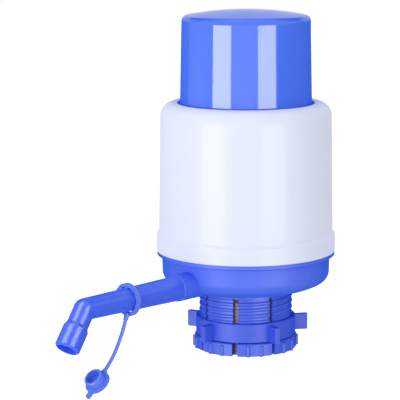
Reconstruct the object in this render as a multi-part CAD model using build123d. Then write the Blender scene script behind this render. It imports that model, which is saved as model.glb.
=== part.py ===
"""Hand pump that clamps on the neck of a large drinking-water bottle.

Millimetres. +Z is up the pump's axis, the origin is on that axis at the foot of the
split collar, and the spout points along -Y. "s" below is the distance from the pump's
axis out along the spout.
"""
from build123d import *
from math import cos, pi, radians, sin, sqrt, tan
import os

# ---------------------------------------------------------------- driving dimensions
# bottle neck, its rubber liner and the split collar round it
neck_r = 27.75
liner_wall = 0.85
liner_relief = 0.35
liner_relief_z = 27.0
collar_wall = 1.2
collar_h = 39.7
collar_plate_t = 2.4
petal_flare = 3.8
petal_h = 8.4
petal_count = 8
petal_rib_r = 1.25
petal_rib_h = 7.0
wide_slot_w = 3.6
narrow_slot_w = 2.2
slot_turn = 29.8            # degrees from under the spout to the nearest wide slot
mouth_gasket_t = 2.3
mouth_gasket_r = 20.0
collar_screw_ring_r = 15.5
air_hole_count = 3
air_ring_r = 10.4
air_hole_r = 2.0

# lock ring
thread_room = 0.95          # the thread stands in this gap
ring_wall = 2.0
ring_h = 12.6
wing_count = 5
wing_reach = 9.0
wing_t = 3.5
wing_h = 10.5
wing_foot = 0.4

# blue base: bowl, flange, upstand and spout boss
bowl_foot_step = 1.1
bowl_side_z = 51.3
bowl_side_arc = 7.5
bowl_lean = 0.3
bowl_wall = 2.4
flange_low_z = 61.5
flange_slope_z = 62.6
flange_top_z = 65.2
flange_step = 3.2
upstand_h = 6.0
upstand_wall = 2.1
ledge_w = 3.6
ledge_slope_h = 2.0
bead_h = 0.5
bead_half_w = 0.9
boss_r = 8.6
boss_reach = 7.8            # past the skirt
boss_root_s = 34.0
socket_depth = 18.5
deck_post_r = 3.2
collar_post_r = 3.0
collar_post_h = 9.0

# white shell
skirt_r = 58.7
skirt_over_flange = 0.3
skirt_top_z = 75.9
skirt_slope_h = 1.7
skirt_step = 1.6
shell_draft = 1.2
shell_top_z = 162.5
shoulder_r = 8.6
mouth_fall = 14.0           # degrees that the rim slopes down into the mouth
shell_wall = 2.2
ceiling_t = 2.6

# barrel, deck and what is on it
barrel_inset = 8.9
barrel_wall = 1.8
barrel_foot_t = 2.0
deck_t = 3.0
deck_gasket_t = 1.0
deck_screw_inset = 7.0
deck_screw_len = 10.0
spring_wire_r = 0.9
spring_r = 11.0
spring_turns = 6
spring_wire_sides = 6
spring_ring_wall = 1.5
spring_ring_h = 3.0
guide_wall = 1.8
guide_vent_w = 4.0

# button and piston
mouth_catch = 2.2           # how far the mouth reaches in over the barrel
button_air = 1.8
button_draft = 1.15
button_wall = 2.2
button_edge_r = 5.0
button_stand = 58.9
button_crown_h = 1.6
button_lip_t = 3.0
button_notch_w = 4.0
button_post_r = 3.0
stroke = 48.0
piston_web_t = 3.0
piston_rim_h = 7.5
piston_groove_d = 4.0
piston_groove_inset = 1.4
piston_screw_inset = 8.5
piston_screw_len = 9.0
seal_lip_t = 1.0

# umbrella valves
valve_r = 7.9
valve_t = 1.15
valve_stem_r = 1.5
valve_bulb_r = 2.2
valve_bulb_h = 1.6
valve_hole_count = 6
valve_hole_ring_r = 5.0
valve_hole_r = 1.2

# screws
screw_r = 1.2
screw_head_r = 2.7
screw_head_t = 1.6
collar_screw_len = 7.0

# water way
spout_z = 48.9
water_bore_r = 3.0
elbow_arm_r = 5.5
elbow_trunk_r = 6.0
elbow_arm_end_s = 46.0
elbow_shoulder_t = 1.5
dip_spigot_r = 4.6
dip_spigot_foot_z = 27.5
o_ring_wire_r = 0.5
o_ring_groove_d = 0.8

# spout
spout_low_r = 6.8
spout_high_r = 8.05
spout_reach = 79.4          # from the boss to the bend
spout_bore_r = 4.4
spigot_r = 6.2
spout_groove_inset = 4.0
nozzle_dip = 50.5           # degrees from the tube's line
nozzle_roll = 8.0           # degrees that the push-fit spout is turned in its socket
nozzle_r = 6.7
nozzle_len = 28.0
tip_len = 16.6
tip_r = 7.9
tip_shoulder = 2.4
tip_edge = 1.1
mouth_bore_r = 6.3
mouth_bore_len = 5.0

# stopper, its strap and the strap's ring round the spout
tether_s = 109.0
tether_r = 10.4
tether_band = 2.2
tether_t = 2.2
tooth_count = 10
tooth_r = 7.7
tooth_w = 1.6
tether_lip_t = 0.6
tether_hole_r = 0.6
tether_hole_angles = (122, -76)
strap_r = 1.2
nub_r = 1.6
nub_root = 5.0
strap_route = [(111.2, 36.2), (113.1, 31.0), (115.9, 25.2), (119.6, 18.8), (123.9, 12.7), (129.1, 7.7)]
cap_reach = 9.2
cap_flange_r = 8.2
cap_flange_t = 1.6
cap_plug_len = 6.0
cap_plug_wall = 1.5
cap_tab_reach = 12.2
cap_tab_w = 3.4

# clearances
seat_gap = 0.1              # between pieces that do not move on each other
push_gap = 0.2              # between a plug and its socket
slide_gap = 0.4             # between pieces that slide or turn loosely
seal_gap = 0.05             # between a moving seal and its bore
fit_gap = 0.1               # between the spout's spigot and its socket
thread_gap = 0.05           # between a screw and its hole
screw_hole_gap = 0.65       # between a screw and a hole that it passes through

# working values
edge_break = 0.5            # bevel on a moulded edge
past = 1.0                  # how far a cut runs past a face, and a joined piece into one

# ------------------------------------------------------------------- derived sizes
liner_r = neck_r + liner_wall
collar_in_r = liner_r + seat_gap
collar_r = collar_in_r + collar_wall
petal_r = collar_r + petal_flare
plate_low_z = collar_h - collar_plate_t
gasket_low_z = plate_low_z - mouth_gasket_t
ring_low_z = petal_h + slide_gap
ring_high_z = ring_low_z + ring_h
ring_in_r = collar_r + thread_room
ring_r = ring_in_r + ring_wall

shell_low_r = skirt_r - skirt_step
shell_high_r = shell_low_r - shell_draft
shell_in_r = skirt_r - shell_wall
shoulder_z = shell_top_z - shoulder_r
crest_r = shell_high_r - shoulder_r
ceiling_z = shell_top_z - ceiling_t

flange_r = skirt_r - skirt_over_flange
bowl_foot_r = collar_r + bowl_foot_step
bowl_top_r = flange_r - flange_step
bowl_side_r = bowl_top_r - bowl_lean
bowl_floor_z = collar_h + bowl_wall
upstand_r = shell_in_r - push_gap
upstand_in_r = upstand_r - upstand_wall
upstand_top_z = flange_top_z + upstand_h
bead_z = flange_top_z + upstand_h / 2
ledge_r = upstand_in_r - ledge_w
boss_end_s = skirt_r + boss_reach
socket_r = spigot_r + fit_gap
socket_low_s = boss_end_s - socket_depth

barrel_r = shell_high_r - barrel_inset
barrel_top_z = ceiling_z - push_gap
deck_low_z = flange_top_z + deck_gasket_t
deck_top_z = deck_low_z + deck_t
deck_r = upstand_in_r - push_gap
deck_screw_ring_r = barrel_r - deck_screw_inset

mouth_r = barrel_r - mouth_catch
button_lip_r = barrel_r - slide_gap
button_low_r = mouth_r - button_air
button_high_r = button_low_r - button_draft
button_edge_z = shell_top_z + button_stand
button_crown_z = button_edge_z + button_crown_h
lip_top_z = ceiling_z - slide_gap
button_low_z = lip_top_z - button_lip_t
web_low_z = button_low_z - piston_web_t
piston_low_z = button_low_z - piston_rim_h
piston_groove_r = barrel_r - piston_groove_d
piston_groove_low_z = piston_low_z + piston_groove_inset
piston_groove_high_z = button_low_z - piston_groove_inset
piston_screw_ring_r = button_low_r - piston_screw_inset

guide_in_r = spring_r + spring_wire_r + slide_gap
guide_top_z = web_low_z - stroke - slide_gap
spring_ring_r = spring_r - spring_wire_r - slide_gap
spring_ring_in_r = spring_ring_r - spring_ring_wall

screw_hole_r = screw_r + thread_gap
screw_pass_r = screw_r + screw_hole_gap
trunk_hole_r = elbow_trunk_r + push_gap
o_ring_seat_r = elbow_trunk_r - o_ring_groove_d
o_ring_half_w = o_ring_wire_r + seat_gap
elbow_groove_z = collar_h + bowl_wall / 2

shoulder_s = boss_end_s + seat_gap
spigot_low_s = socket_low_s + slide_gap
spout_bend_s = boss_end_s + spout_reach
spout_groove_s = spigot_low_s + spout_groove_inset
spout_groove_r = socket_r - 2 * o_ring_wire_r - seal_gap
tip_bore_r = nozzle_r + seat_gap
cap_plug_r = mouth_bore_r - push_gap


def spout_radius(s):
    """Outside radius of the tapered spout tube at s."""
    share = (s - shoulder_s) / (spout_bend_s - shoulder_s)
    return spout_high_r + (spout_low_r - spout_high_r) * share


# ------------------------------------------------------------------------- helpers
UP = (Align.CENTER, Align.CENTER, Align.MIN)


def rod(r, low, high):
    """Upright cylinder on the Z axis."""
    return Pos(0, 0, low) * Cylinder(r, high - low, align=UP)


def tube(r_in, r_out, low, high):
    """Upright tube on the Z axis."""
    return rod(r_out, low, high) - rod(r_in, low, high)


def turned(*points):
    """Solid of revolution about Z from (radius, height) corners."""
    outline = Polyline(*[(r, 0, z) for r, z in points], close=True)
    return revolve(make_face(outline), Axis.Z)


def around(count, r, first=0.0):
    """Places on a circle about Z, each turned to face outwards."""
    return [Rot(0, 0, first + k * 360 / count) * Pos(r, 0, 0) for k in range(count)]


def every(places, piece):
    """The same piece at each of some places, as a list."""
    return [place * piece for place in places]


def screws(ring_r, head_low, shank_low, shank_high):
    """Four screws on a circle about Z."""
    screw = rod(screw_head_r, head_low, head_low + screw_head_t) + rod(screw_r, shank_low, shank_high)
    return every(around(4, ring_r, 45), screw)


def o_ring(seat_r):
    """Ring of the wire's thickness that sits round a seat, about Z at its mid height."""
    inner = seat_r + seal_gap
    outer = inner + 2 * o_ring_wire_r - seal_gap
    middle, corner = (inner + outer) / 2, o_ring_wire_r / 2
    return turned((inner, -corner), (middle - corner, -o_ring_wire_r), (middle + corner, -o_ring_wire_r),
                  (outer, -corner), (outer, corner), (middle + corner, o_ring_wire_r),
                  (middle - corner, o_ring_wire_r), (inner, corner))


def out_along_spout(s=0.0, drop=0.0):
    """Plane square to the spout's axis at s, whose Z runs outwards."""
    return Plane(origin=(0, -s, spout_z - drop), x_dir=(1, 0, 0), z_dir=(0, -1, 0))


def spout_rod(r, s_low, s_high):
    """Cylinder on the spout's axis."""
    return out_along_spout(s_low) * Cylinder(r, s_high - s_low, align=UP)


def umbrella_valve(seat_z, bulb_z):
    """Rubber flap under its seat, with a stem up through the seat and a bulb above it."""
    flap = turned((0, seat_z), (valve_r, seat_z), (valve_r, seat_z - valve_t / 2),
                  (valve_r / 2, seat_z - valve_t), (0, seat_z - valve_t))
    bulb = turned((0, bulb_z), (valve_bulb_r, bulb_z), (valve_stem_r, bulb_z + valve_bulb_h),
                  (0, bulb_z + valve_bulb_h))
    return flap + rod(valve_stem_r, seat_z, bulb_z) + bulb


def valve_holes(low, high):
    """The stem's hole and the ring of holes that the flap covers."""
    stem_hole = rod(valve_stem_r + seat_gap, low, high)
    return [stem_hole, *every(around(valve_hole_count, valve_hole_ring_r), rod(valve_hole_r, low, high))]


# ---------------------------------------------------------------------- base pieces
def bowl_profile():
    """Half section of the bowl, its flange and the upstand that the shell fits on."""
    across, rise = bowl_side_r - bowl_foot_r, bowl_side_z - collar_h
    floor_arc = (across ** 2 + rise ** 2 - 2 * across * bowl_side_arc) / (2 * (rise - bowl_side_arc))
    floor_centre = (bowl_foot_r, collar_h + floor_arc)
    side_centre = (bowl_side_r - bowl_side_arc, bowl_side_z)
    meet = Vector(side_centre[0] - floor_centre[0], side_centre[1] - floor_centre[1]).get_angle(Vector(0, -1))
    wall_in = bowl_side_r - bowl_wall
    bend = radians(meet)
    bend_in = (side_centre[0] + (bowl_side_arc - bowl_wall) * sin(bend),
               bowl_side_z - (bowl_side_arc - bowl_wall) * cos(bend))
    lines = [
        Line((0, collar_h), (bowl_foot_r, collar_h)),
        CenterArc(floor_centre, floor_arc, 270, meet),
        CenterArc(side_centre, bowl_side_arc, 270 + meet, 90 - meet),
        Polyline((bowl_side_r, bowl_side_z), (bowl_top_r, flange_low_z),
                 (flange_r, flange_slope_z), (flange_r, flange_top_z), (upstand_r, flange_top_z),
                 (upstand_r, bead_z - bead_half_w), (upstand_r + bead_h, bead_z),
                 (upstand_r, bead_z + bead_half_w), (upstand_r, upstand_top_z - edge_break),
                 (upstand_r - edge_break, upstand_top_z), (upstand_in_r, upstand_top_z),
                 (upstand_in_r, flange_top_z), (ledge_r, flange_top_z), (ledge_r, flange_low_z),
                 (wall_in, flange_low_z - ledge_slope_h), (wall_in, bowl_side_z), bend_in,
                 (bowl_foot_r, bowl_floor_z), (0, bowl_floor_z), (0, collar_h)),
    ]
    return make_face(Curve() + lines)


def pump_base():
    body = revolve(Plane.XZ * bowl_profile(), Axis.Z)
    boss = spout_rod(boss_r, boss_root_s, boss_end_s)
    body += chamfer(boss.edges().sort_by(Axis.Y)[0], edge_break)
    post_low = collar_h + past
    body += every(around(4, deck_screw_ring_r, 45), rod(deck_post_r, post_low, deck_low_z - seat_gap))
    body += every(around(4, collar_screw_ring_r, 45), rod(collar_post_r, post_low, collar_h + collar_post_h))
    body -= spout_rod(socket_r, socket_low_s, boss_end_s + past)
    body -= spout_rod(elbow_arm_r + seat_gap, boss_root_s - past, boss_end_s)
    through = (collar_h - past, bowl_floor_z + past)
    body -= rod(trunk_hole_r, *through)
    body -= every(around(air_hole_count, air_ring_r), rod(air_hole_r, *through))
    deck_hole_low = deck_low_z - deck_screw_len - past
    body -= every(around(4, deck_screw_ring_r, 45), rod(screw_hole_r, deck_hole_low, deck_low_z))
    collar_hole_top = collar_h + collar_screw_len + edge_break
    body -= every(around(4, collar_screw_ring_r, 45), rod(screw_hole_r, collar_h - past, collar_hole_top))
    return body


def split_collar():
    """Threaded neck sawn into fingers, each ending in a ribbed petal, under a plate."""
    neck = tube(collar_in_r, collar_r, 0, collar_h)
    foot = turned((collar_in_r, 0), (petal_r - edge_break, 0), (petal_r, edge_break),
                  (petal_r, petal_h - edge_break), (petal_r - edge_break, petal_h), (collar_in_r, petal_h))
    plate = rod(collar_r, plate_low_z, collar_h)
    step = 360 / petal_count
    first = slot_turn - 90
    rib = rod(petal_rib_r, 0, petal_rib_h)
    ribs = every(around(petal_count, petal_r, first + step / 3), rib)
    ribs += every(around(petal_count, petal_r, first + 2 * step / 3), rib)
    body = neck + foot + plate + ribs
    saw_depth = petal_r + petal_rib_r - collar_in_r + 2 * past
    for width, turn in ((wide_slot_w, first), (narrow_slot_w, first + step)):
        saw = Pos(0, 0, -past) * Box(saw_depth, width, plate_low_z + past, align=UP)
        body -= every(around(petal_count // 2, collar_in_r - past + saw_depth / 2, turn), saw)
    through = (plate_low_z - past, collar_h + past)
    body -= rod(trunk_hole_r, *through)
    body -= every(around(air_hole_count, air_ring_r), rod(air_hole_r, *through))
    return body - every(around(4, collar_screw_ring_r, 45), rod(screw_pass_r, *through))


def neck_liner():
    """Thin rubber sleeve that grips the bottle, relieved where the neck's bead goes in."""
    top = gasket_low_z - seat_gap
    relief_r = neck_r + liner_relief
    return turned((neck_r, 0), (liner_r, 0), (liner_r, top), (relief_r, top), (relief_r, liner_relief_z),
                  (neck_r, liner_relief_z))


def mouth_gasket():
    return tube(mouth_gasket_r, liner_r, gasket_low_z, plate_low_z)


def collar_screws():
    return screws(collar_screw_ring_r, plate_low_z - screw_head_t, plate_low_z, collar_h + collar_screw_len)


def lock_ring():
    """Clamping ring that runs on the collar's thread, turned by its wings."""
    hoop = turned((ring_in_r, ring_low_z), (ring_r - edge_break, ring_low_z),
                  (ring_r, ring_low_z + edge_break), (ring_r, ring_high_z - edge_break),
                  (ring_r - edge_break, ring_high_z), (ring_in_r, ring_high_z))
    root_r = (ring_in_r + ring_r) / 2
    wing = Box(ring_r + wing_reach - root_r, wing_t, wing_h, align=(Align.MIN, Align.CENTER, Align.MIN))
    wing = fillet(wing.edges().filter_by(Axis.Z).sort_by(Axis.X)[-2:], edge_break)
    place = Pos(0, 0, ring_low_z + wing_foot)
    return hoop + every(around(wing_count, root_r, -90), place * wing)


def water_elbow():
    """Carries water from the dip tube's spigot up and out to the spout's socket."""
    trunk_low = plate_low_z - elbow_shoulder_t
    body = rod(dip_spigot_r, dip_spigot_foot_z, trunk_low + past) + rod(elbow_trunk_r, trunk_low, spout_z)
    body += Pos(0, 0, spout_z) * Sphere(elbow_trunk_r) + spout_rod(elbow_arm_r, 0, elbow_arm_end_s)
    groove = (elbow_groove_z - o_ring_half_w, elbow_groove_z + o_ring_half_w)
    body -= tube(o_ring_seat_r, elbow_trunk_r + past, *groove)
    body -= rod(water_bore_r, dip_spigot_foot_z - past, spout_z)
    body -= Pos(0, 0, spout_z) * Sphere(water_bore_r)
    return body - spout_rod(water_bore_r, 0, elbow_arm_end_s + past)


def elbow_seal():
    return Pos(0, 0, elbow_groove_z) * o_ring(o_ring_seat_r)


def deck_plate():
    """Floor of the pump chamber, with the delivery valve's holes and the spring's guide."""
    plate = rod(deck_r, deck_low_z, deck_top_z)
    plate += tube(spring_ring_in_r, spring_ring_r, deck_top_z, deck_top_z + spring_ring_h)
    guide = tube(guide_in_r, guide_in_r + guide_wall, deck_top_z, guide_top_z)
    vent = Box(2 * (guide_wall + past), guide_vent_w, guide_vent_w, align=UP)
    plate += guide - every(around(4, guide_in_r), Pos(0, 0, deck_top_z) * vent)
    through = (deck_low_z - past, deck_top_z + past)
    plate -= valve_holes(*through)
    return plate - every(around(4, deck_screw_ring_r, 45), rod(screw_pass_r, *through))


def deck_gasket():
    return tube(ledge_r + push_gap, deck_r, flange_top_z, deck_low_z)


def deck_screws():
    return screws(deck_screw_ring_r, deck_top_z, deck_low_z - deck_screw_len, deck_top_z)


def delivery_valve():
    return umbrella_valve(deck_low_z, deck_top_z)


def pump_barrel():
    barrel = tube(barrel_r, barrel_r + barrel_wall, deck_top_z, barrel_top_z)
    return barrel + tube(barrel_r, deck_r, deck_top_z, deck_top_z + barrel_foot_t)


def housing_shell():
    """White outer shell, from its wide skirt up over the shoulder to the button's mouth."""
    centre = (crest_r, shoulder_z)
    fall = radians(mouth_fall)
    rim_r = crest_r - shoulder_r * sin(fall)
    rim_z = shoulder_z + shoulder_r * cos(fall)
    mouth_edge_z = rim_z - (rim_r - mouth_r) * tan(fall)
    slope_top_z = skirt_top_z + skirt_slope_h
    groove_w = bead_half_w + push_gap
    barrel_clear_r = barrel_r + barrel_wall + push_gap
    ceiling_corner_z = ceiling_z - (shell_high_r - shell_wall - barrel_clear_r)
    lines = [
        Polyline((mouth_r, ceiling_z), (mouth_r, mouth_edge_z), (rim_r, rim_z)),
        CenterArc(centre, shoulder_r, 0, 90 + mouth_fall),
        Polyline((shell_high_r, shoulder_z), (shell_low_r, slope_top_z), (skirt_r, skirt_top_z),
                 (skirt_r, flange_top_z), (shell_in_r, flange_top_z), (shell_in_r, bead_z - groove_w),
                 (shell_in_r + bead_h, bead_z), (shell_in_r, bead_z + groove_w), (shell_in_r, skirt_top_z),
                 (shell_low_r - shell_wall, slope_top_z), (shell_high_r - shell_wall, ceiling_corner_z),
                 (barrel_clear_r, ceiling_z), (mouth_r, ceiling_z)),
    ]
    return revolve(Plane.XZ * make_face(Curve() + lines), Axis.Z)


def spring_arcs(r, low, high, turns):
    """A helix as tangent arcs, two to each half turn."""
    rise = (high - low) / turns

    def at(t):
        return Vector(r * cos(2 * pi * t), r * sin(2 * pi * t), low + rise * t)

    def heading(t):
        return Vector(-2 * pi * r * sin(2 * pi * t), 2 * pi * r * cos(2 * pi * t), rise).normalized()

    def arc(start, corner, end):
        middle = (start + end) * 0.5
        half = (end - start).length / 2
        leg = (corner - start).length
        lift = half * sqrt((leg - half) / (leg + half))
        return ThreePointArc(start, middle + (corner - middle).normalized() * lift, end)

    arcs = []
    for k in range(2 * turns):
        a, b = at(k / 2), at((k + 1) / 2)
        turn_in, turn_out = heading(k / 2), heading((k + 1) / 2)
        chord, both = b - a, turn_in + turn_out
        square = 4 - both.dot(both)
        leg = (sqrt(chord.dot(both) ** 2 + square * chord.dot(chord)) - chord.dot(both)) / square
        corner_a, corner_b = a + turn_in * leg, b - turn_out * leg
        joint = (corner_a + corner_b) * 0.5
        arcs += [arc(a, corner_a, joint), arc(joint, corner_b, b)]
    return arcs


def return_spring():
    low, high = deck_top_z + spring_wire_r, web_low_z - spring_wire_r
    path = Wire(spring_arcs(spring_r, low, high, spring_turns))
    print("spring: least gap to itself", round((high - low) / spring_turns - 2 * spring_wire_r, 2))
    section = Plane(origin=path @ 0, x_dir=(1, 0, 0), z_dir=path % 0)
    section *= RegularPolygon(spring_wire_r, spring_wire_sides)
    return sweep(section, path=path)


# --------------------------------------------------------------------- button pieces
def press_button():
    """Tall cup, retained under the shell's mouth by the lip round its foot."""
    corner_r = button_high_r - button_edge_r
    corner_z = button_edge_z - button_edge_r
    crown_arc = (corner_r ** 2 + button_crown_h ** 2) / (2 * button_crown_h)
    lean = Vector(corner_r, crown_arc - button_crown_h).get_angle(Vector(0, 1))
    outside = [
        Polyline((0, button_low_z), (button_lip_r, button_low_z), (button_lip_r, lip_top_z),
                 (button_low_r, lip_top_z), (button_high_r, corner_z)),
        CenterArc((corner_r, corner_z), button_edge_r, 0, 90),
        CenterArc((0, button_crown_z - crown_arc), crown_arc, 90 - lean, lean),
        Line((0, button_crown_z), (0, button_low_z)),
    ]
    cup = revolve(Plane.XZ * make_face(Curve() + outside), Axis.Z)
    roof_z = button_edge_z - button_wall
    roof_r = button_high_r - button_wall
    corner = button_edge_r - button_wall
    cup -= turned((0, button_low_z - past), (roof_r, button_low_z - past), (roof_r, roof_z - corner),
                  (roof_r - corner, roof_z), (0, roof_z))
    ring = around(4, piston_screw_ring_r, 45)
    cup += every(ring, rod(button_post_r, button_low_z, roof_z + button_wall / 2))
    cup -= every(ring, rod(screw_hole_r, button_low_z - past, button_low_z + piston_screw_len + past))
    notch = Box(button_lip_r, button_notch_w, button_lip_t / 2, align=UP)
    return cup - every(around(4, button_lip_r), Pos(0, 0, button_low_z) * notch)


def piston_plate():
    """Disc screwed under the button: carries the seal, the intake valve and the spring's seat."""
    rim_in_r = piston_groove_r - piston_web_t
    rim_r = barrel_r - 2 * slide_gap
    plate = turned((0, web_low_z), (rim_in_r, web_low_z), (rim_in_r, piston_low_z), (rim_r, piston_low_z),
                   (rim_r, piston_groove_low_z), (piston_groove_r, piston_groove_low_z),
                   (piston_groove_r, piston_groove_high_z), (rim_r, piston_groove_high_z),
                   (rim_r, button_low_z), (0, button_low_z))
    plate += tube(spring_ring_in_r, spring_ring_r, web_low_z - spring_ring_h, web_low_z)
    through = (web_low_z - past, button_low_z + past)
    plate -= valve_holes(*through)
    return plate - every(around(4, piston_screw_ring_r, 45), rod(screw_pass_r, *through))


def piston_seal():
    """Rubber cup seal in the plate's groove, wiping the barrel."""
    in_r = piston_groove_r + seat_gap
    low, high = piston_groove_low_z + seat_gap, piston_groove_high_z - seat_gap
    wipe_r = barrel_r - seal_gap
    return turned((in_r, low), (wipe_r - seal_lip_t, low), (wipe_r, low + seal_lip_t),
                  (wipe_r - seal_lip_t, high), (in_r, high))


def intake_valve():
    return umbrella_valve(web_low_z, button_low_z)


def piston_screws():
    return screws(piston_screw_ring_r, web_low_z - screw_head_t, web_low_z, button_low_z + piston_screw_len)


# ---------------------------------------------------------------------- spout pieces
def nozzle_plane(reach=0.0):
    """Plane square to the nozzle at a reach from the spout's bend, Z towards the mouth."""
    dip, roll = radians(nozzle_dip), radians(nozzle_roll)
    way = Vector(sin(roll) * sin(dip), -cos(dip), -cos(roll) * sin(dip))
    bend = Vector(0, -spout_bend_s, spout_z)
    return Plane(origin=bend + way * reach, x_dir=(cos(roll), 0, sin(roll)), z_dir=way)


def spout_tube():
    """Push-fit spout: grooved spigot, tapered tube, bend and the nozzle's neck."""
    arm = out_along_spout(shoulder_s) * Cone(spout_high_r, spout_low_r, spout_bend_s - shoulder_s, align=UP)
    spigot = spout_rod(spigot_r, spigot_low_s, shoulder_s + past)
    spigot = chamfer(spigot.edges().sort_by(Axis.Y)[-1], edge_break)
    groove = (spout_groove_s - o_ring_half_w, spout_groove_s + o_ring_half_w)
    spigot -= spout_rod(spigot_r + past, *groove) - spout_rod(spout_groove_r, *groove)
    neck_len = nozzle_len - mouth_bore_len - seat_gap
    body = arm + spigot + Pos(0, -spout_bend_s, spout_z) * Sphere(spout_low_r)
    body += nozzle_plane() * Cone(spout_low_r, nozzle_r, neck_len, align=UP)
    body -= spout_rod(spout_bore_r, spigot_low_s - past, spout_bend_s)
    body -= Pos(0, -spout_bend_s, spout_z) * Sphere(spout_bore_r)
    return body - nozzle_plane() * Cylinder(spout_bore_r, neck_len + past, align=UP)


def spout_o_ring():
    return out_along_spout(spout_groove_s) * o_ring(spout_groove_r)


def nozzle_tip():
    """Thicker sleeve pressed on the nozzle's neck, whose mouth the stopper plugs."""
    bore_low = tip_len - mouth_bore_len
    outside = turned((tip_bore_r, 0), (tip_r, tip_shoulder), (tip_r, tip_len - tip_edge),
                     (tip_r - tip_edge, tip_len), (mouth_bore_r, tip_len), (mouth_bore_r, bore_low),
                     (tip_bore_r, bore_low))
    return nozzle_plane(nozzle_len - tip_len) * outside


# ------------------------------------------------------- stopper, strap and its ring
def strap_points():
    """The strap's route in the upright plane through the spout's axis."""
    return [Vector(0, -s, z) for s, z in strap_route]


def cap_plane():
    """Plane of the stopper's flange: X away from the strap, Z along the plug."""
    before, end = strap_points()[-2:]
    along = (end - before).normalized()
    plug_way = Vector(0, along.Z, -along.Y)
    return Plane(origin=end + along * cap_reach, x_dir=along, z_dir=plug_way)


def strap_ring():
    """Toothed ring that hangs on the spout, with the nub that the strap leaves from."""
    hang = tooth_r - spout_radius(tether_s) - push_gap
    place = out_along_spout(tether_s - tether_t / 2, hang)
    inner = tether_r - tether_band
    band = tube(inner, tether_r, 0, tether_t) + tube(tooth_r, inner + tether_band / 4, 0, tether_lip_t)
    tooth_len = inner + tether_band / 4 - tooth_r
    tooth = Box(tooth_len, tooth_w, tether_t, align=UP)
    band += every(around(tooth_count, tooth_r + tooth_len / 2, 180 / tooth_count), tooth)
    hole = rod(tether_hole_r, -past, tether_t + past)
    band -= [Rot(0, 0, angle) * Pos(tether_r - tether_band / 2, 0, 0) * hole for angle in tether_hole_angles]
    start, following = strap_points()[:2]
    way = (following - start).normalized()
    nub = Plane(origin=start - way * nub_root, z_dir=way) * Cylinder(nub_r, nub_root, align=UP)
    return place * band + (nub - place * Cylinder(inner, 2 * tether_r))


def strap():
    """Moulded strap from the ring's nub to the stopper's nub, as runs and tangent arcs."""
    points = strap_points()
    radii = []
    for before, here, after in zip(points, points[1:], points[2:]):
        run = min((here - before).length, (after - here).length)
        turn = radians((here - before).get_angle(after - here))
        radii.append(0.45 * run / tan(turn / 2))
    print("strap: bend radii", [round(r, 1) for r in radii])
    path = FilletPolyline(*points, radius=radii)
    body = sweep(Plane(origin=path @ 0, z_dir=path % 0) * Circle(strap_r), path=path)
    print("strap: length", round(path.length, 2), "volume over section times length",
          round(body.volume / (pi * strap_r ** 2 * path.length), 4))
    return body


def stopper_cap():
    """Hollow plug on a thin flange, with a pull tab opposite the strap."""
    flange = Cylinder(cap_flange_r, cap_flange_t)
    plug = rod(cap_plug_r, 0, cap_plug_len)
    plug = chamfer(plug.edges().sort_by(Axis.Z)[-1], edge_break)
    plug -= rod(cap_plug_r - cap_plug_wall, 0, cap_plug_len)
    nub_len = cap_reach - cap_flange_r + past
    nub = Pos(-cap_reach, 0, 0) * Rot(0, 90, 0) * Cylinder(nub_r, nub_len, align=UP)
    tab_in = cap_flange_r - past
    tab = Pos((tab_in + cap_tab_reach) / 2, 0, 0) * Box(cap_tab_reach - tab_in, cap_tab_w, cap_flange_t)
    tab = fillet(tab.edges().filter_by(Axis.Z).sort_by(Axis.X)[-2:], cap_tab_w / 2 - seat_gap)
    return cap_plane() * (flange + plug + nub + tab)


# ---------------------------------------------------------------------------- output
PIECES = [
    pump_base, split_collar, neck_liner, mouth_gasket, collar_screws, lock_ring,
    water_elbow, elbow_seal, deck_plate, deck_gasket, deck_screws, delivery_valve,
    pump_barrel, housing_shell, return_spring,
    press_button, piston_plate, piston_seal, intake_valve, piston_screws,
    spout_tube, spout_o_ring, nozzle_tip, strap_ring, strap, stopper_cap,
]

os.makedirs("parts", exist_ok=True)
for make in PIECES:
    piece = make()
    if isinstance(piece, list):
        piece = Compound(children=piece)
    export_step(piece, f"parts/{make.__name__}.step")
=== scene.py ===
"""Water jug hand pump: its looks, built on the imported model. Metres, +Z up, spout along -Y."""
import math

import bmesh
import bpy
from mathutils import Euler, Matrix, Vector


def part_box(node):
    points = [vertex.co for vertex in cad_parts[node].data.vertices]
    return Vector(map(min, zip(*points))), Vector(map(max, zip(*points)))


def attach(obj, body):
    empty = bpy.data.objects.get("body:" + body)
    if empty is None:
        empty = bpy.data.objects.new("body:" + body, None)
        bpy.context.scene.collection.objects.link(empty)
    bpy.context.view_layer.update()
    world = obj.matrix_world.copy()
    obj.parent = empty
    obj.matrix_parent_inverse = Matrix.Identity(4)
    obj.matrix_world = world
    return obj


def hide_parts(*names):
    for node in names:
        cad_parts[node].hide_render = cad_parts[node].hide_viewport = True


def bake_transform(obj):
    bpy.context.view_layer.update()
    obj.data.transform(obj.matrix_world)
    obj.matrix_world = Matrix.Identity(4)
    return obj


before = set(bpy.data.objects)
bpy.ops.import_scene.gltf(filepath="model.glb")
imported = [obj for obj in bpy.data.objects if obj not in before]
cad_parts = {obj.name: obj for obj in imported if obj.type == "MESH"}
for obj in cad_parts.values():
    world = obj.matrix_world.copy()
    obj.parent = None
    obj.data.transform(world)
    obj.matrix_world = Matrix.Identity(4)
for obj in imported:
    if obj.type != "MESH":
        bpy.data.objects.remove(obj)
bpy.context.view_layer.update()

# ----------------------------------------------------------------------- press button
# A tall cup of blue ABS with a low domed crown, from a polished mould. Its lip is caught
# under the shell's mouth, and the piston is screwed to four posts inside it.


def linear(hex_colour):
    """An sRGB hex colour as the linear RGBA that a shader takes."""
    parts = [int(hex_colour[i:i + 2], 16) / 255 for i in (1, 3, 5)]
    return [c / 12.92 if c <= 0.04045 else ((c + 0.055) / 1.055) ** 2.4 for c in parts] + [1.0]


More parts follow.
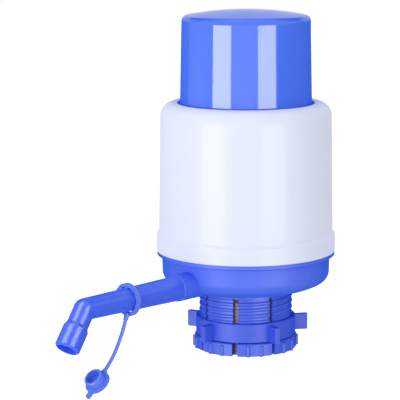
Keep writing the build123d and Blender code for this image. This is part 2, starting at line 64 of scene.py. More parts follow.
def add_node(tree, kind, inputs=None, **settings):
    """Add a node, give it its settings, and fill or link its inputs."""
    node = tree.nodes.new(kind)
    for name, value in settings.items():
        setattr(node, name, value)
    for socket, value in (inputs or {}).items():
        if isinstance(value, bpy.types.NodeSocket):
            tree.links.new(value, node.inputs[socket])
        else:
            node.inputs[socket].default_value = value
    return node


def empty_material(name):
    """A material with nothing in its tree."""
    material = bpy.data.materials.new(name)
    material.use_nodes = True
    material.node_tree.nodes.clear()
    return material, material.node_tree


def places_on(tree):
    """Where a point lies on the pump, in metres."""
    return add_node(tree, "ShaderNodeTexCoord").outputs["Object"]


def moulded_plastic(name, colour, flow_colour, roughness, haze, grain_mm, grain_depth_mm, ior,
                    draw_depth_mm, glow=0.0, gloss_kept_above=1.0):
    """Injection-moulded plastic: flow clouds in its colour, handling haze in its gloss, the
    mould's grain and upright draw marks in its relief, and a share of light through thin walls.
    The gloss falls away at a slant, a painted shade on the edges, except above a given height."""
    cloud_mm, rub_mm, draw_mm, draw_stretch = 28, 9, 1.6, 50
    full_gloss = 0.5
    material, tree = empty_material(name)
    place = places_on(tree)
    clouds = add_node(tree, "ShaderNodeTexNoise", {"Vector": place, "Scale": 1000 / cloud_mm,
                                                   "Detail": 3.0})
    body = add_node(tree, "ShaderNodeMix", {"Factor": clouds.outputs["Fac"], "A": linear(colour),
                                            "B": linear(flow_colour)}, data_type="RGBA")
    rubbed = add_node(tree, "ShaderNodeTexNoise", {"Vector": place, "Scale": 1000 / rub_mm, "Detail": 5.0})
    gloss = add_node(tree, "ShaderNodeMapRange", {
        "Value": rubbed.outputs["Fac"], "From Min": 0.35, "From Max": 0.75,
        "To Min": roughness, "To Max": roughness + haze})
    grain = add_node(tree, "ShaderNodeTexNoise", {"Vector": place, "Scale": 1000 / grain_mm, "Detail": 1.0})
    relief = add_node(tree, "ShaderNodeBump", {"Height": grain.outputs["Fac"], "Strength": 1.0,
                                               "Distance": grain_depth_mm / 1000})
    stretched = add_node(tree, "ShaderNodeMapping", {"Vector": place,
                                                     "Scale": (1.0, 1.0, 1 / draw_stretch)})
    draws = add_node(tree, "ShaderNodeTexNoise", {"Vector": stretched.outputs["Vector"],
                                                  "Scale": 1000 / draw_mm})
    drawn = add_node(tree, "ShaderNodeBump", {"Height": draws.outputs["Fac"], "Strength": 1.0,
                                              "Distance": draw_depth_mm / 1000,
                                              "Normal": relief.outputs["Normal"]})
    # Painted shade: the gloss falls to nothing where the surface turns away, so the edges go dark.
    slant = add_node(tree, "ShaderNodeLayerWeight", {"Blend": 0.5})
    edge_shade_gloss = add_node(tree, "ShaderNodeMapRange", {
        "Value": slant.outputs["Facing"], "From Min": 0.3, "From Max": 0.62,
        "To Min": full_gloss, "To Max": 0.0})
    # Above the given height the gloss is kept at a slant too.
    height = add_node(tree, "ShaderNodeSeparateXYZ", {0: place})
    gloss_kept = add_node(tree, "ShaderNodeMath", {0: height.outputs["Z"], 1: gloss_kept_above},
                        operation="GREATER_THAN")
    level = add_node(tree, "ShaderNodeMath", {0: gloss_kept.outputs[0], 1: full_gloss}, operation="MULTIPLY")
    shine = add_node(tree, "ShaderNodeMath", {0: level.outputs[0], 1: edge_shade_gloss.outputs["Result"]},
                     operation="MAXIMUM")
    skin = add_node(tree, "ShaderNodeBsdfPrincipled", {
        "Base Color": body.outputs["Result"], "Roughness": gloss.outputs["Result"],
        "Specular IOR Level": shine.outputs[0],
        "Normal": drawn.outputs["Normal"], "IOR": ior, "Subsurface Weight": glow,
        "Subsurface Radius": (1.0, 1.0, 1.0), "Subsurface Scale": 0.003})
    add_node(tree, "ShaderNodeOutputMaterial", {"Surface": skin.outputs["BSDF"]})
    return material


def dress(material, *nodes):
    """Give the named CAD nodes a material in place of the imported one."""
    for name in nodes:
        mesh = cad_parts[name].data
        mesh.materials.clear()
        mesh.materials.append(material)


cup_wall = 0.0022
cup_radius = 0.04185
foot_radius = 0.043
lip_height = 0.003
shoulder_round = 0.004
shoulder_middle = 0.215
crown_top = 0.2225
post_count = 4
post_ring = 0.0345
post_radius = 0.003
post_bore = 0.00115
cup_low, cup_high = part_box("press_button")
lip_top = cup_low.z + lip_height
lip_radius = cup_high.x

# ABS from a polished mould: a hard, even gloss that mirrors the strip lights as crisp
# upright bands, with only a trace of draw marks in them. Its gloss falls away at a slant, a painted shade on
# its edges, but the crown keeps it.
polished_blue_abs = moulded_plastic(
    "polished_blue_abs", "#4C78F4", "#4873F0", roughness=0.06, haze=0.04, grain_mm=7.0,
    grain_depth_mm=0.003, ior=1.53, draw_depth_mm=0.0006, gloss_kept_above=0.2155)

# The dome is the arc through the crown's top that runs smoothly into the shoulder's round.
shoulder_reach = cup_radius - shoulder_round
dome_radius = ((shoulder_reach ** 2 + (crown_top - shoulder_middle) ** 2 - shoulder_round ** 2)
               / (2 * (crown_top - shoulder_middle - shoulder_round)))
dome_middle = crown_top - dome_radius
dome_lean = math.atan2(shoulder_reach, shoulder_middle - dome_middle)


def cup_side(inset):
    """The cup's shoulder and low dome from the wall to the axis, set in by a wall's thickness."""
    bend, dome = shoulder_round - inset, dome_radius - inset
    shoulder_steps, crown_steps = 16, 20
    shoulder = [(math.pi / 2 - dome_lean) * step / shoulder_steps for step in range(shoulder_steps + 1)]
    crown = [dome_lean * (1 - step / crown_steps) for step in range(1, crown_steps + 1)]
    side = [(shoulder_reach + bend * math.cos(turn), shoulder_middle + bend * math.sin(turn))
            for turn in shoulder]
    return side + [(dome * math.sin(turn), dome_middle + dome * math.cos(turn)) for turn in crown]


def turn_round(mesh, profile, centre, steps):
    """Turn a profile of (radius, height) round an upright axis into a closed skin."""
    points = [mesh.verts.new((centre[0] + radius, centre[1], height)) for radius, height in profile]
    line = [mesh.edges.new(pair) for pair in zip(points, points[1:])]
    bmesh.ops.spin(mesh, geom=points + line, cent=(*centre, 0), axis=(0, 0, 1), angle=2 * math.pi,
                   steps=steps, use_merge=True)


cup = bmesh.new()
outside, inside = cup_side(0), cup_side(cup_wall)
inside_radius = inside[0][0]
lip = [(foot_radius, lip_top), (lip_radius, lip_top), (lip_radius, cup_low.z), (inside_radius, cup_low.z)]
turn_round(cup, [(0, crown_top)] + outside[-2::-1] + lip + inside, (0, 0), steps=160)
post_top = dome_middle + math.sqrt((dome_radius - cup_wall) ** 2 - post_ring ** 2)
post = [(post_bore, cup_low.z), (post_radius, cup_low.z), (post_radius, post_top), (post_bore, post_top),
        (post_bore, cup_low.z)]
for number in range(post_count):
    turn = 2 * math.pi * (number + 0.5) / post_count
    turn_round(cup, post, (post_ring * math.cos(turn), post_ring * math.sin(turn)), steps=24)
bmesh.ops.remove_doubles(cup, verts=cup.verts, dist=1e-6)
bmesh.ops.recalc_face_normals(cup, faces=cup.faces)
sharp_bend = math.radians(35)
for face in cup.faces:
    face.smooth = True
for edge in cup.edges:
    edge.smooth = edge.calc_face_angle(0) < sharp_bend
cup_mesh = bpy.data.meshes.new("press_cup")
cup.to_mesh(cup_mesh)
cup.free()
cup_mesh.materials.append(polished_blue_abs)
press_cup = bpy.data.objects.new("press_cup", cup_mesh)
bpy.context.scene.collection.objects.link(press_cup)
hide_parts("press_button")
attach(press_cup, "button")

# ------------------------------------------------------------------ bowl and its boss
# The bowl, its flange and its spout boss are one blue ABS moulding, from a mould with a
# fine satin finish. The shell is pushed down over its upstand.

# ABS from a satin mould: the button's blue, with the bands spread into one soft sheen.
satin_blue_abs = moulded_plastic(
    "satin_blue_abs", "#4A70EE", "#466BE9", roughness=0.46, haze=0.08, grain_mm=1.2, grain_depth_mm=0.006,
    ior=1.48, draw_depth_mm=0.0)
dress(satin_blue_abs, "pump_base")

# ------------------------------------------------------------------------- white shell
# One white ABS moulding, faintly cool. It is pushed down over the bowl's upstand until
# its skirt meets the flange.

# White ABS from a fairly polished mould: bright and even. The photograph's bands in it are
# weak, so its index is lower than the plastic's own.
white_abs = moulded_plastic(
    "white_abs", "#EAEDF8", "#E6EAF6", roughness=0.18, haze=0.05, grain_mm=7.0, grain_depth_mm=0.004,
    ior=1.2, draw_depth_mm=0.0006)
dress(white_abs, "housing_shell")

# ------------------------------------------------- split collar and its raised thread
# The collar is a polypropylene moulding sawn into eight fingers that end in ribbed
# petals. A coarse, round-topped right-hand thread stands on the fingers, broken at every
# slot. The slots are wide and narrow by turns.

# Moulded polypropylene: a waxy half gloss, so that each thread ridge draws a bright line.
moulded_blue_pp = moulded_plastic(
    "moulded_blue_pp", "#4868E4", "#4463DE", roughness=0.28, haze=0.1, grain_mm=2.0, grain_depth_mm=0.005,
    ior=1.5, draw_depth_mm=0.002)
dress(moulded_blue_pp, "split_collar")


def new_tree(name, sizes):
    """A geometry tree with a named input for each size, and the sockets that hold them."""
    tree = bpy.data.node_groups.new(name, "GeometryNodeTree")
    tree.interface.new_socket(name="Geometry", in_out="OUTPUT", socket_type="NodeSocketGeometry")
    for size, value in sizes.items():
        kind = "NodeSocketInt" if isinstance(value, int) else "NodeSocketFloat"
        tree.interface.new_socket(name=size, in_out="INPUT", socket_type=kind)
    return tree, add_node(tree, "NodeGroupInput").outputs


def end_tree(tree, geometry, material, smooth):
    """Realize the instances, shade and colour the result, and send it out."""
    real = add_node(tree, "GeometryNodeRealizeInstances", {"Geometry": geometry})
    shaded = add_node(tree, "GeometryNodeSetShadeSmooth", {"Geometry": real.outputs[0],
                                                           "Shade Smooth": smooth})
    coloured = add_node(tree, "GeometryNodeSetMaterial", {"Geometry": shaded.outputs[0],
                                                          "Material": material})
    add_node(tree, "NodeGroupOutput", {0: coloured.outputs[0]})


def grow(name, tree, sizes):
    """Run a geometry tree with its sizes and keep the result as a plain mesh object."""
    piece = bpy.data.objects.new(name, bpy.data.meshes.new(name))
    bpy.context.scene.collection.objects.link(piece)
    modifier = piece.modifiers.new(name, "NODES")
    modifier.node_group = tree
    for item in tree.interface.items_tree:
        if item.in_out == "INPUT":
            modifier[item.identifier] = sizes[item.name]
    graph = bpy.context.evaluated_depsgraph_get()
    piece.data = bpy.data.meshes.new_from_object(piece.evaluated_get(graph))
    piece.modifiers.clear()
    return piece


def bead_along(tree, run, height, half_width, sides):
    """A solid bead with an oval section, upright all the way along a curve."""
    upright = add_node(tree, "GeometryNodeSetCurveNormal", {"Curve": run.outputs[0]}, mode="Z_UP")
    circle = add_node(tree, "GeometryNodeCurvePrimitiveCircle", {"Resolution": sides, "Radius": 1.0})
    oval = add_node(tree, "ShaderNodeCombineXYZ", {"X": height, "Y": half_width, "Z": 1.0})
    section = add_node(tree, "GeometryNodeTransform", {"Geometry": circle.outputs[0],
                                                       "Scale": oval.outputs[0]})
    return add_node(tree, "GeometryNodeCurveToMesh", {
        "Curve": upright.outputs[0], "Profile Curve": section.outputs[0], "Fill Caps": True})


def spots_up_axis(tree, count, lowest, pitch):
    """Spots one above another on the pump's axis."""
    start = add_node(tree, "ShaderNodeCombineXYZ", {"Z": lowest})
    rise = add_node(tree, "ShaderNodeCombineXYZ", {"Z": pitch})
    return add_node(tree, "GeometryNodeMeshLine", {
        "Count": count, "Start Location": start.outputs[0], "Offset": rise.outputs[0]})


def copies_round(tree, spots, piece, step, first):
    """A copy of the piece at each spot, turned about the axis by one step more each time."""
    number = add_node(tree, "GeometryNodeInputIndex")
    turn = add_node(tree, "ShaderNodeMath", {0: number.outputs[0], 1: step, 2: first},
                    operation="MULTIPLY_ADD")
    heading = add_node(tree, "ShaderNodeCombineXYZ", {"Z": turn.outputs[0]})
    return add_node(tree, "GeometryNodeInstanceOnPoints", {
        "Points": spots.outputs[0], "Instance": piece.outputs[0], "Rotation": heading.outputs[0]})


collar_radius = 0.0299
thread_pitch = 0.004
thread_turns = 7
finger_count = 8
slot_widths = {"wide": 0.0036, "narrow": 0.0022}
spout_side = -90
first_wide_slot = math.radians(spout_side + 29.8)
finger_turn = 2 * math.pi / finger_count
ridge_share = 1 / finger_count - sum(slot_widths.values()) / 2 / (2 * math.pi * collar_radius)
thread_sizes = {
    "Root radius": collar_radius, "Ridge height": 0.00085, "Ridge half width": 0.00125,
    "Ridge turn": ridge_share, "Ridge rise": thread_pitch * ridge_share, "Finger turn": finger_turn,
    "Finger rise": thread_pitch / finger_count, "Foot": 0.0098, "Ridges": finger_count * thread_turns,
    "First ridge": first_wide_slot + slot_widths["wide"] / 2 / collar_radius,
    "Odd ridge": (slot_widths["narrow"] - slot_widths["wide"]) / 2 / collar_radius,
}
tree, size = new_tree("collar_thread", thread_sizes)
run = add_node(tree, "GeometryNodeCurveSpiral", {
    "Resolution": 140, "Rotations": size["Ridge turn"], "Start Radius": size["Root radius"],
    "End Radius": size["Root radius"], "Height": size["Ridge rise"], "Reverse": True})
ridge = bead_along(tree, run, size["Ridge height"], size["Ridge half width"], sides=14)
climb = spots_up_axis(tree, size["Ridges"], size["Foot"], size["Finger rise"])
finger = add_node(tree, "GeometryNodeInputIndex")
odd = add_node(tree, "ShaderNodeMath", {0: finger.outputs[0], 1: 2.0}, operation="MODULO")
shifted = add_node(tree, "ShaderNodeMath", {0: odd.outputs[0], 1: size["Odd ridge"],
                                            2: size["First ridge"]}, operation="MULTIPLY_ADD")
ridges = copies_round(tree, climb, ridge, size["Finger turn"], shifted.outputs[0])
end_tree(tree, ridges.outputs[0], moulded_blue_pp, True)
collar_thread = grow("collar_thread", tree, thread_sizes)
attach(collar_thread, "base")

# -------------------------------------------------------------------------- lock ring
# A stiff ring with five wings, moulded in the collar's blue. It is turned by hand on the
# thread, and closes the fingers on the bottle's neck.

# Polypropylene from a satin mould: duller than the collar, and rubbed where it is held.
satin_blue_pp = moulded_plastic(
    "satin_blue_pp", "#415FE0", "#3D5ADA", roughness=0.4, haze=0.12, grain_mm=1.5, grain_depth_mm=0.006,
    ior=1.45, draw_depth_mm=0.0)
dress(satin_blue_pp, "lock_ring")

# ------------------------------------------------------ neck liner and rubber seals
# A thin rubber sleeve lines the collar and grips the bottle; its dark is a painted shade for the
# recess behind the slots. A ladder of paler ribs is moulded on it in each wide slot. The gasket over
# the bottle's mouth and the seals inside are black nitrile, and the two flap valves are pale silicone.


def moulded_rubber(name, colour, dusty_colour, roughness, grain_depth_mm):
    """Moulded rubber: a dull skin with dust in its grain."""
    dust_mm, grain_mm = 4, 0.7
    material, tree = empty_material(name)
    place = places_on(tree)
    dust = add_node(tree, "ShaderNodeTexNoise", {"Vector": place, "Scale": 1000 / dust_mm, "Detail": 6.0})
    body = add_node(tree, "ShaderNodeMix", {"Factor": dust.outputs["Fac"], "A": linear(colour),
                                            "B": linear(dusty_colour)}, data_type="RGBA")
    grain = add_node(tree, "ShaderNodeTexNoise", {"Vector": place, "Scale": 1000 / grain_mm, "Detail": 2.0})
    relief = add_node(tree, "ShaderNodeBump", {"Height": grain.outputs["Fac"], "Strength": 1.0,
                                               "Distance": grain_depth_mm / 1000})
    skin = add_node(tree, "ShaderNodeBsdfPrincipled", {
        "Base Color": body.outputs["Result"], "Roughness": roughness, "Normal": relief.outputs["Normal"],
        "IOR": 1.52})
    add_node(tree, "ShaderNodeOutputMaterial", {"Surface": skin.outputs["BSDF"]})
    return material


# Moulded natural rubber, dull and dark, the dark a painted shade for the recess behind the slots, with a
# little dust caught in it.
painted_shade_rubber = moulded_rubber("painted_shade_rubber", "#34303E", "#403A46", 0.7, 0.03)
dress(painted_shade_rubber, "neck_liner")
# The same rubber in a warm, dusty grey, on the ribs only; the sleeve's dark around them is painted shade.
rib_grey_rubber = moulded_rubber("rib_grey_rubber", "#857A80", "#A29698", 0.75, 0.03)
# Moulded nitrile: near black, with a faint oily sheen.
black_nitrile = moulded_rubber("black_nitrile", "#17171A", "#222226", 0.5, 0.01)
dress(black_nitrile, "mouth_gasket", "elbow_seal", "deck_gasket", "piston_seal", "spout_o_ring")
# Moulded silicone: milky and smooth.
pale_silicone = moulded_rubber("pale_silicone", "#C9C3B6", "#D3CEC3", 0.35, 0.005)
dress(pale_silicone, "delivery_valve", "intake_valve")

liner_radius = 0.0286
# The ribs keep off each slot's left edge, where the dark sleeve shows as a painted shadow of the finger's
# edge.
rib_margins = {"left": 0.0013, "right": 0.0001}
rib_width = slot_widths["wide"] - sum(rib_margins.values())
rib_sizes = {
    "Liner radius": liner_radius, "Rib height": 0.0005, "Rib half width": 0.00105,
    "Rib turn": rib_width / liner_radius, "Rib pitch": 0.0023, "Lowest rib": 0.0015, "Ribs": 15,
    "Slots": finger_count // 2, "Slot turn": 2 * finger_turn,
    "First rib": first_wide_slot + (rib_margins["left"] - slot_widths["wide"] / 2) / liner_radius,
}
tree, size = new_tree("slot_ribs", rib_sizes)
run = add_node(tree, "GeometryNodeCurveArc", {"Resolution": 5, "Radius": size["Liner radius"],
                                              "Start Angle": 0.0, "Sweep Angle": size["Rib turn"]})
rib = bead_along(tree, run, size["Rib height"], size["Rib half width"], sides=10)
rungs = spots_up_axis(tree, size["Ribs"], size["Lowest rib"], size["Rib pitch"])
ladder = add_node(tree, "GeometryNodeInstanceOnPoints", {"Points": rungs.outputs[0],
                                                         "Instance": rib.outputs[0]})
hub = add_node(tree, "GeometryNodeMeshLine", {"Count": size["Slots"], "Offset": (0.0, 0.0, 0.0)})
ladders = copies_round(tree, hub, ladder, size["Slot turn"], size["First rib"])
end_tree(tree, ladders.outputs[0], rib_grey_rubber, True)
slot_ribs = grow("slot_ribs", tree, rib_sizes)
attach(slot_ribs, "base")

# ------------------------------------------------------------------------------ screws
# Four pan-head screws with a cross recess hold the collar's plate to the bowl. Their
# heads show from below, inside the collar. The deck's and the piston's are like them, out
# of sight.

# Zinc-plated steel: a cool, slightly cloudy plating over turned metal.
plating_cloud_mm = 1.5
zinc_plated_steel, metal_tree = empty_material("zinc_plated_steel")
cloud = add_node(metal_tree, "ShaderNodeTexNoise", {
    "Vector": places_on(metal_tree), "Scale": 1000 / plating_cloud_mm, "Detail": 3.0})
plating = add_node(metal_tree, "ShaderNodeMix", {"Factor": cloud.outputs["Fac"], "A": linear("#B9BFC6"),
                                                 "B": linear("#D2D5D4")}, data_type="RGBA")
worn = add_node(metal_tree, "ShaderNodeMapRange", {"Value": cloud.outputs["Fac"],
                                                   "To Min": 0.25, "To Max": 0.45})
metal = add_node(metal_tree, "ShaderNodeBsdfPrincipled", {
    "Base Color": plating.outputs["Result"], "Metallic": 1.0, "Roughness": worn.outputs["Result"]})
add_node(metal_tree, "ShaderNodeOutputMaterial", {"Surface": metal.outputs["BSDF"]})
dress(zinc_plated_steel, "deck_screws", "piston_screws")

screw_low, screw_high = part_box("collar_screws")
head_height = 0.0016
screw_seat = screw_low.z + head_height
screw_sizes = {
    "Head radius": 0.0027, "Head height": head_height, "Shank radius": 0.0012,
    "Seat": screw_seat, "Shank length": screw_high.z - screw_seat,
    "Recess width": 0.0007, "Recess length": 0.0034, "Recess depth": 0.0011,
    "Ring radius": 0.0155, "Screws": 4, "First screw": math.radians(45),
}
tree, size = new_tree("collar_screw", screw_sizes)
flat = add_node(tree, "ShaderNodeMath", {0: size["Head height"], 1: size["Head radius"]},
                operation="DIVIDE")
ball = add_node(tree, "GeometryNodeMeshUVSphere", {"Segments": 24, "Rings": 16,
                                                   "Radius": size["Head radius"]})
squash = add_node(tree, "ShaderNodeCombineXYZ", {"X": 1.0, "Y": 1.0, "Z": flat.outputs[0]})
dome = add_node(tree, "GeometryNodeTransform", {"Geometry": ball.outputs[0], "Scale": squash.outputs[0]})
across = add_node(tree, "ShaderNodeMath", {0: size["Head radius"], 1: 3.0}, operation="MULTIPLY")
upper = add_node(tree, "ShaderNodeCombineXYZ", {
    "X": across.outputs[0], "Y": across.outputs[0], "Z": across.outputs[0]})
half_up = add_node(tree, "ShaderNodeMath", {0: across.outputs[0], 1: 0.5}, operation="MULTIPLY")
above = add_node(tree, "ShaderNodeCombineXYZ", {"Z": half_up.outputs[0]})
seat_block = add_node(tree, "GeometryNodeMeshCube", {"Size": upper.outputs[0]})
seat_cut = add_node(tree, "GeometryNodeTransform", {"Geometry": seat_block.outputs[0],
                                                    "Translation": above.outputs[0]})
both_ways = add_node(tree, "ShaderNodeMath", {0: size["Recess depth"], 1: 2.0}, operation="MULTIPLY")
arm_size = add_node(tree, "ShaderNodeCombineXYZ", {
    "X": size["Recess length"], "Y": size["Recess width"], "Z": both_ways.outputs[0]})
arm = add_node(tree, "GeometryNodeMeshCube", {"Size": arm_size.outputs[0]})
head_low = add_node(tree, "ShaderNodeMath", {0: size["Head height"], 1: -1.0}, operation="MULTIPLY")
at_tip = add_node(tree, "ShaderNodeCombineXYZ", {"Z": head_low.outputs[0]})
arm_one = add_node(tree, "GeometryNodeTransform", {"Geometry": arm.outputs[0],
                                                   "Translation": at_tip.outputs[0]})
arm_two = add_node(tree, "GeometryNodeTransform", {"Geometry": arm_one.outputs[0],
                                                   "Rotation": (0.0, 0.0, math.pi / 2)})
recess = add_node(tree, "GeometryNodeMeshBoolean", {"Mesh 2": arm_one.outputs[0]}, operation="UNION")
tree.links.new(arm_two.outputs[0], recess.inputs["Mesh 2"])
cut_head = add_node(tree, "GeometryNodeMeshBoolean", {"Mesh 1": dome.outputs[0],
                                                      "Mesh 2": seat_cut.outputs[0]}, operation="DIFFERENCE")
tree.links.new(recess.outputs[0], cut_head.inputs["Mesh 2"])
shank = add_node(tree, "GeometryNodeMeshCylinder", {
    "Vertices": 16, "Radius": size["Shank radius"], "Depth": size["Shank length"]})
half_shank = add_node(tree, "ShaderNodeMath", {0: size["Shank length"], 1: 0.5}, operation="MULTIPLY")
lifted = add_node(tree, "ShaderNodeCombineXYZ", {"Z": half_shank.outputs[0]})
stem = add_node(tree, "GeometryNodeTransform", {"Geometry": shank.outputs[0],
                                                "Translation": lifted.outputs[0]})
screw = add_node(tree, "GeometryNodeJoinGeometry", {"Geometry": stem.outputs[0]})
tree.links.new(cut_head.outputs[0], screw.inputs["Geometry"])
ring = add_node(tree, "GeometryNodeMeshCircle", {"Vertices": size["Screws"],
                                                 "Radius": size["Ring radius"]})
seat_height = add_node(tree, "ShaderNodeCombineXYZ", {"Z": size["Seat"]})
ring_turn = add_node(tree, "ShaderNodeCombineXYZ", {"Z": size["First screw"]})
seats = add_node(tree, "GeometryNodeTransform", {
    "Geometry": ring.outputs[0], "Translation": seat_height.outputs[0], "Rotation": ring_turn.outputs[0]})
screws = add_node(tree, "GeometryNodeInstanceOnPoints", {"Points": seats.outputs[0],
                                                         "Instance": screw.outputs[0]})
end_tree(tree, screws.outputs[0], zinc_plated_steel, False)
pan_head_screws = grow("pan_head_screws", tree, screw_sizes)
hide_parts("collar_screws")
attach(pan_head_screws, "base")

# ------------------------------------------------- inner works: deck, barrel and piston
# The deck, barrel, piston plate and water elbow are left in their natural white. They sit
# inside the shell, and the elbow's spigot shows inside the collar.

# Natural moulded polypropylene: milky white with a waxy half gloss.
natural_white_pp = moulded_plastic(
    "natural_white_pp", "#E4E6E4", "#DDE0DF", roughness=0.35, haze=0.1, grain_mm=3.0, grain_depth_mm=0.01,
    ior=1.49, draw_depth_mm=0.002)
dress(natural_white_pp, "deck_plate", "pump_barrel", "piston_plate", "water_elbow")

# ------------------------------------------------------------------------ return spring
# Stainless spring wire, cold drawn and coiled, seated between the deck's ring and the piston's. It
# closes up as the button goes down, but here it is one fixed coil.

# Drawn stainless steel: bright, with fine streaks from the die.
die_streak_mm = 0.8
drawn_stainless_wire, metal_tree = empty_material("drawn_stainless_wire")
drawn = add_node(metal_tree, "ShaderNodeTexNoise", {
    "Vector": places_on(metal_tree), "Scale": 1000 / die_streak_mm, "Detail": 2.0})
streak = add_node(metal_tree, "ShaderNodeMapRange", {"Value": drawn.outputs["Fac"],
                                                     "To Min": 0.2, "To Max": 0.4})
metal = add_node(metal_tree, "ShaderNodeBsdfPrincipled", {
    "Base Color": linear("#C3C5C8"), "Metallic": 1.0, "Roughness": streak.outputs["Result"]})
add_node(metal_tree, "ShaderNodeOutputMaterial", {"Surface": metal.outputs["BSDF"]})

wire_radius = 0.0009
spring_foot, spring_top = (corner.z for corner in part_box("return_spring"))
spring_sizes = {
    "Wire radius": wire_radius, "Coil radius": 0.011, "Turns": 6.0,
    "Low": spring_foot + wire_radius, "Height": spring_top - spring_foot - 2 * wire_radius,
}
tree, size = new_tree("return_spring_coil", spring_sizes)
helix = add_node(tree, "GeometryNodeCurveSpiral", {
    "Resolution": 40, "Rotations": size["Turns"], "Start Radius": size["Coil radius"],
    "End Radius": size["Coil radius"], "Height": size["Height"], "Reverse": True})
round_wire = add_node(tree, "GeometryNodeCurvePrimitiveCircle", {"Resolution": 12,
                                                                 "Radius": size["Wire radius"]})
coil = add_node(tree, "GeometryNodeCurveToMesh", {"Curve": helix.outputs[0],
                                                  "Profile Curve": round_wire.outputs[0], "Fill Caps": True})
lift = add_node(tree, "ShaderNodeCombineXYZ", {"Z": size["Low"]})
seated = add_node(tree, "GeometryNodeTransform", {"Geometry": coil.outputs[0],
                                                  "Translation": lift.outputs[0]})
end_tree(tree, seated.outputs[0], drawn_stainless_wire, True)
return_spring_coil = grow("return_spring_coil", tree, spring_sizes)
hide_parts("return_spring")
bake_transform(return_spring_coil)

# ---------------------------------------------------------------------- spout and tip
# The spout is a separate blue ABS moulding, pushed into the boss, with a thicker sleeve
# pressed on its nozzle.

# ABS from a polished mould, a little duller than the button where hands turn it.
spout_blue_abs = moulded_plastic(
    "spout_blue_abs", "#466AEC", "#4265E6", roughness=0.19, haze=0.04, grain_mm=9.0, grain_depth_mm=0.001,
    ior=1.53, draw_depth_mm=0.0, glow=0.5)
dress(spout_blue_abs, "spout_tube", "nozzle_tip")

# ----------------------------------------------------- strap, its ring and the stopper
# Soft blue polyethylene, moulded as one: a toothed ring that hangs on the spout, a thin
# round strap and a hollow stopper for the nozzle's mouth.

# Soft moulded polyethylene: paler than the ABS, with a greasy, blurred sheen.
soft_blue_pe = moulded_plastic(
    "soft_blue_pe", "#6484EE", "#5C7BE8", roughness=0.34, haze=0.12, grain_mm=1.5, grain_depth_mm=0.006,
    ior=1.51, draw_depth_mm=0.0)
dress(soft_blue_pe, "strap_ring", "stopper_cap")

strap_route = [(0, -0.1112, 0.0362), (0, -0.1131, 0.0310), (0, -0.1159, 0.0252), (0, -0.1196, 0.0188),
               (0, -0.1239, 0.0127), (0, -0.1291, 0.0077)]
strap_radius = 0.0012
line = bpy.data.curves.new("hanging_strap", "CURVE")
line.dimensions = "3D"
spline = line.splines.new("NURBS")
spline.points.add(len(strap_route) - 1)
for point, spot in zip(spline.points, strap_route):
    point.co = (*spot, 1.0)
spline.order_u = 3
spline.use_endpoint_u = True
spline.resolution_u = 8
line.bevel_depth = strap_radius
line.bevel_resolution = 5
line.use_fill_caps = True
line.materials.append(soft_blue_pe)
hanging_strap = bpy.data.objects.new("hanging_strap", line)
bpy.context.scene.collection.objects.link(hanging_strap)
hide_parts("strap")
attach(hanging_strap, "tether")

# ------------------------------------------------------------------------------ studio
# The pump hangs over a pale floor, as in the photograph. A soft key light stands to the
# left of the camera and one hangs overhead. Upright strips draw the bands in the gloss,
# and grey cards round the pump keep the blue edges dark.

camera_turn = 42.0
camera_distance = 1.226
camera_height = 0.3093
camera_pitch = 9.8
camera_yaw = 1.405
camera_roll = -0.15


def around_pump(turn, distance, height):
    """A spot at a turn round the pump's axis, measured to the right of the camera's side."""
    side = math.radians(camera_turn + turn)
    return Vector((distance * math.sin(side), -distance * math.cos(side), height))


camera = bpy.data.objects.new("camera", bpy.data.cameras.new("camera"))
camera.data.lens = 170.5
camera.data.sensor_width = 36.0
camera.data.clip_end = 20.0
camera.location = around_pump(0, camera_distance, camera_height)
aimed = Euler((math.radians(90 - camera_pitch), 0, math.radians(camera_turn + camera_yaw))).to_matrix()
camera.rotation_euler = (aimed @ Matrix.Rotation(math.radians(camera_roll), 3, "Z")).to_euler()
bpy.context.scene.collection.objects.link(camera)
bpy.context.scene.camera = camera


def soft_light(name, spot, aim, width, tall, radiance, diffuse=True, glossy=True):
    """A flat light of a given radiance, facing its aim, that the camera doesn't see."""
    lamp = bpy.data.lights.new(name, "AREA")
    lamp.shape = "RECTANGLE"
    lamp.size, lamp.size_y = width, tall
    lamp.energy = radiance * math.pi * width * tall
    panel = bpy.data.objects.new(name, lamp)
    panel.location = spot
    panel.rotation_euler = (Vector(aim) - Vector(spot)).to_track_quat("-Z", "Y").to_euler()
    panel.visible_camera = False
    panel.visible_diffuse = diffuse
    panel.visible_glossy = glossy
    bpy.context.scene.collection.objects.link(panel)
    return panel


# Two large strips draw the button's and the shell's bands, and a weak one fills between.
strip_distance = 1.3
strip_middle = 0.02
strip_tall = 0.46
for name, turn, width, radiance in (("left_strip", -42.35, 0.768, 9.3), ("front_glow", -2.6, 1.12, 0.7),
                                    ("right_strip", 36.6, 0.745, 8.2)):
    soft_light(name, around_pump(turn, strip_distance, strip_middle), (0, 0, strip_middle),
               width, strip_tall, radiance, diffuse=False)

# Two small strips draw the nozzle's bands, and a lamp from below lights its mouth.
nozzle = (0, -0.155, 0.035)
nozzle_pieces = bpy.data.collections.new("nozzle_pieces")
for name in ("spout_tube", "nozzle_tip"):
    nozzle_pieces.objects.link(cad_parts[name])
for name, turn, distance, height in (("nozzle_left_strip", -50.0, 0.75, 1.1),
                                     ("nozzle_right_strip", 44.0, 1.2, 0.5)):
    panel = soft_light(name, around_pump(turn, distance, height), nozzle, width=0.8, tall=0.9, radiance=5.0,
                       diffuse=False)
    panel.light_linking.receiver_collection = nozzle_pieces
tip_only = bpy.data.collections.new("tip_only")
tip_only.objects.link(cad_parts["nozzle_tip"])
panel = soft_light("mouth_glow", (0.05, -0.47, -0.35), nozzle, width=0.25, tall=0.25, radiance=5.0,
                   glossy=False)
panel.light_linking.receiver_collection = tip_only

key_spot = around_pump(-25, 1.6, 0.4)
soft_light("key", key_spot, (0, 0, 0.1), width=1.2, tall=1.0, radiance=2.0, glossy=False)
soft_light("overhead", (0, 0, 1.4), (0, 0, 0), width=1.2, tall=1.2, radiance=0.25)


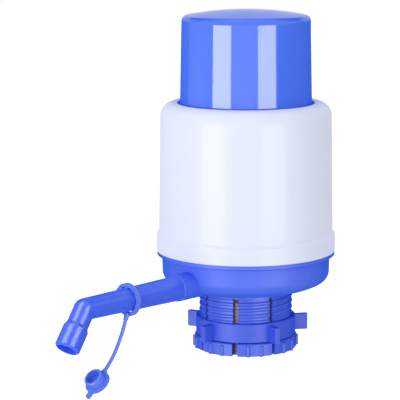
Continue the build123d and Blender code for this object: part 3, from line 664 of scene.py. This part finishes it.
def grey_card(name, grey, corners):
    """A matt grey sheet that only reflections see."""
    material, tree = empty_material(name)
    matt = add_node(tree, "ShaderNodeBsdfDiffuse", {"Color": linear(grey)})
    add_node(tree, "ShaderNodeOutputMaterial", {"Surface": matt.outputs[0]})
    mesh = bpy.data.meshes.new(name)
    mesh.from_pydata(corners, [], [(0, 1, 2, 3)])
    mesh.materials.append(material)
    card = bpy.data.objects.new(name, mesh)
    card.visible_camera = False
    card.visible_diffuse = False
    card.visible_transmission = False
    card.visible_shadow = False
    bpy.context.scene.collection.objects.link(card)


# Mid-grey cards stand on the left and right and lie below. A pale band and a dark one
# above them, behind the pump, shade the button's dome and shoulder.
card_distance = 0.9
card_foot, pale_band_foot, dark_band_foot, dark_band_top = -0.39, 0.26, 0.66, 1.7
low_card_half = 1.3
mid_grey, pale_grey, dark_grey = "#8A8D95", "#DFE1E8", "#4A4E5C"
cards = [("left_card", mid_grey, -118, -171, card_foot, pale_band_foot),
         ("right_card", mid_grey, 56, 171, card_foot, pale_band_foot)]
for part, near_turn, far_turn in (("right", 150, 100), ("back", 210, 150), ("left", 260, 210)):
    cards.append(("pale_card_" + part, pale_grey, near_turn, far_turn, pale_band_foot, dark_band_foot))
    cards.append(("high_card_" + part, dark_grey, near_turn, far_turn, dark_band_foot, dark_band_top))
for name, grey, near_turn, far_turn, low, high in cards:
    grey_card(name, grey, [around_pump(turn, card_distance, height) for turn, height in (
        (near_turn, low), (far_turn, low), (far_turn, high), (near_turn, high))])
grey_card("low_card", mid_grey, [(low_card_half * side, low_card_half * front, card_foot)
                                 for side, front in ((-1, -1), (1, -1), (1, 1), (-1, 1))])


def seen_directly(tree):
    """1 for what the camera, a reflection or a look through sees, and 0 for light on the pump."""
    path = add_node(tree, "ShaderNodeLightPath")
    seen = add_node(tree, "ShaderNodeMath", {0: path.outputs["Is Camera Ray"],
                                             1: path.outputs["Is Glossy Ray"]}, operation="MAXIMUM")
    return add_node(tree, "ShaderNodeMath", {0: seen.outputs[0], 1: path.outputs["Is Transmission Ray"]},
                    operation="MAXIMUM").outputs[0]


world = bpy.data.worlds.new("studio")
world.use_nodes = True
bpy.context.scene.world = world
sky = world.node_tree
sky.nodes.clear()
white = add_node(sky, "ShaderNodeBackground", {"Color": (1, 1, 1, 1), "Strength": 1.0})
fill = add_node(sky, "ShaderNodeBackground", {"Color": linear("#F4F6FF"), "Strength": 0.82})
both = add_node(sky, "ShaderNodeMixShader", {0: seen_directly(sky), 1: fill.outputs[0],
                                             2: white.outputs[0]})
add_node(sky, "ShaderNodeOutputWorld", {"Surface": both.outputs[0]})

floor_height = -0.4
floor_half = 6.0
floor_mesh = bpy.data.meshes.new("floor")
floor_mesh.from_pydata([(-floor_half, -floor_half, floor_height), (floor_half, -floor_half, floor_height),
                        (floor_half, floor_half, floor_height), (-floor_half, floor_half, floor_height)],
                       [], [(0, 1, 2, 3)])
floor = bpy.data.objects.new("floor", floor_mesh)
bpy.context.scene.collection.objects.link(floor)
pale_floor, tree = empty_material("pale_floor")
matt = add_node(tree, "ShaderNodeBsdfDiffuse", {"Color": linear("#F2F3F6")})
lift = add_node(tree, "ShaderNodeMath", {0: seen_directly(tree), 1: 0.6}, operation="MULTIPLY")
glow = add_node(tree, "ShaderNodeEmission", {"Strength": lift.outputs[0]})
lit = add_node(tree, "ShaderNodeAddShader", {0: matt.outputs[0], 1: glow.outputs[0]})
add_node(tree, "ShaderNodeOutputMaterial", {"Surface": lit.outputs[0]})
floor_mesh.materials.append(pale_floor)

bpy.context.scene.view_settings.view_transform = "Standard"
